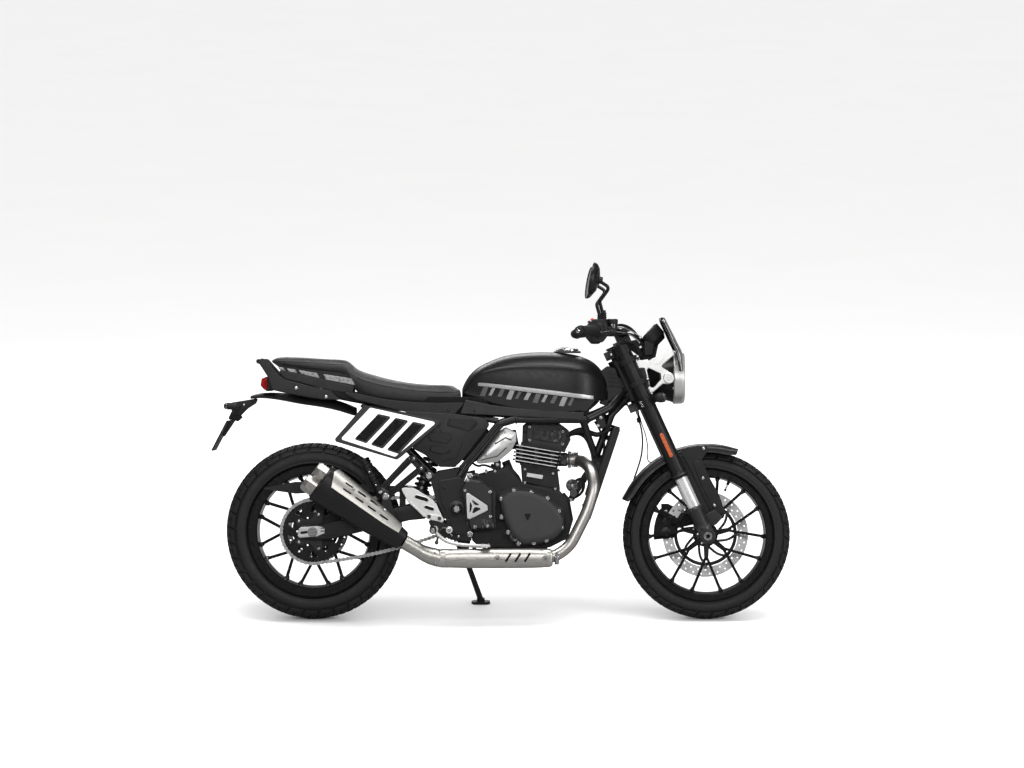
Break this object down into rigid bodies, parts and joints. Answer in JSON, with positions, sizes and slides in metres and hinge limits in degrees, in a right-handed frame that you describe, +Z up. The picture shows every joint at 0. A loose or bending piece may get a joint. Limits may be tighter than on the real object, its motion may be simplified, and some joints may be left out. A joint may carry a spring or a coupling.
{
  "type": "street tracker motorcycle",
  "caption": "Street motorcycle with a flat wide handlebar, low flat seat, side number boards, black engine and upswept silencer, leaning on its side stand.",
  "frame": {"origin": "on the floor under the middle of the bounding box of the machine as it leans on its side stand", "axes": "+X forward, +Y to the rider's left (the side it leans to), +Z up"},
  "size_m": [2.0199, 0.8532, 1.2712],
  "materials": {
    "frame_black": "satin powder coat",
    "engine_black": "fine matte casting paint",
    "aluminium": "brushed",
    "wheel_black": "gloss",
    "stainless": "brushed",
    "steel": "plated",
    "tank_paint": "satin over gloss",
    "trim_black": "fine grain",
    "board_white": "gloss",
    "seat_cover": "matte grain",
    "tyre_rubber": "moulded tread",
    "rubber": "matte",
    "lamp": "gloss housing",
    "red_lens": "clear gloss"
  },
  "bodies": {
    "chassis": {"main_frame": "frame_black", "subframe": "frame_black", "swingarm": "frame_black", "rear_axle": "steel", "rear_shock": "trim_black", "chain": "steel", "chain_guard": "trim_black", "rear_caliper": "frame_black", "crankcase": "engine_black", "cylinder": "engine_black", "cylinder_head": "engine_black", "engine_covers": "engine_black", "intake_covers": "aluminium", "airbox": "trim_black", "radiator": "trim_black", "exhaust_pipe": "stainless", "silencer": "trim_black", "heat_shield": "stainless", "fuel_tank": "tank_paint", "saddle": "seat_cover", "grab_rails": "trim_black", "tail_lights": "red_lens", "rear_mudguard": "trim_black", "side_panels": "trim_black", "number_boards": "board_white", "footrest_brackets": "frame_black", "footrests": "trim_black", "foot_controls": "aluminium"},
    "fork": {"fork_legs": "engine_black", "front_axle": "steel", "upper_yoke": "frame_black", "lower_yoke": "frame_black", "handlebar": "wheel_black", "grips": "rubber", "hand_controls": "trim_black", "mirrors": "trim_black", "headlamp": "lamp", "headlamp_brackets": "aluminium", "flyscreen": "trim_black", "instrument_cluster": "trim_black", "front_mudguard": "trim_black", "front_caliper": "frame_black", "front_indicators": "trim_black", "brake_hose": "rubber"},
    "front_wheel_body": {"front_tyre": "tyre_rubber", "front_wheel": "wheel_black", "front_brake_disc": "stainless"},
    "rear_wheel_body": {"rear_tyre": "tyre_rubber", "rear_wheel": "wheel_black", "rear_sprocket": "steel", "rear_brake_disc": "stainless"},
    "stand": {"side_stand": "frame_black"},
    "cap": {"fuel_cap": "steel"}
  },
  "joints": [
    {"name": "steering", "type": "hinge", "parent": "chassis", "child": "fork", "pos_m": [0.43632, -0.03091, 0.81323], "axis": [-0.4163, 0.1579, 0.8954], "range_deg": [-35, 35]},
    {"name": "front_wheel_spin", "type": "hinge", "parent": "fork", "child": "front_wheel_body", "pos_m": [0.717, -0.12319, 0.28992], "axis": [0, 0.9848, -0.1736], "continuous": true},
    {"name": "rear_wheel_spin", "type": "hinge", "parent": "chassis", "child": "rear_wheel_body", "pos_m": [-0.654, -0.12058, 0.30469], "axis": [0, 0.9848, -0.1736], "continuous": true},
    {"name": "side_stand_fold", "type": "hinge", "parent": "chassis", "child": "stand", "pos_m": [-0.134, -0.01902, 0.21265], "axis": [0, 0.9848, 0.1736], "range_deg": [0, 95]},
    {"name": "fuel_cap_hinge", "type": "hinge", "parent": "chassis", "child": "cap", "pos_m": [0.27, -0.01052, 0.92886], "axis": [0, 0.9848, -0.1736], "range_deg": [0, 100]}
  ]
}
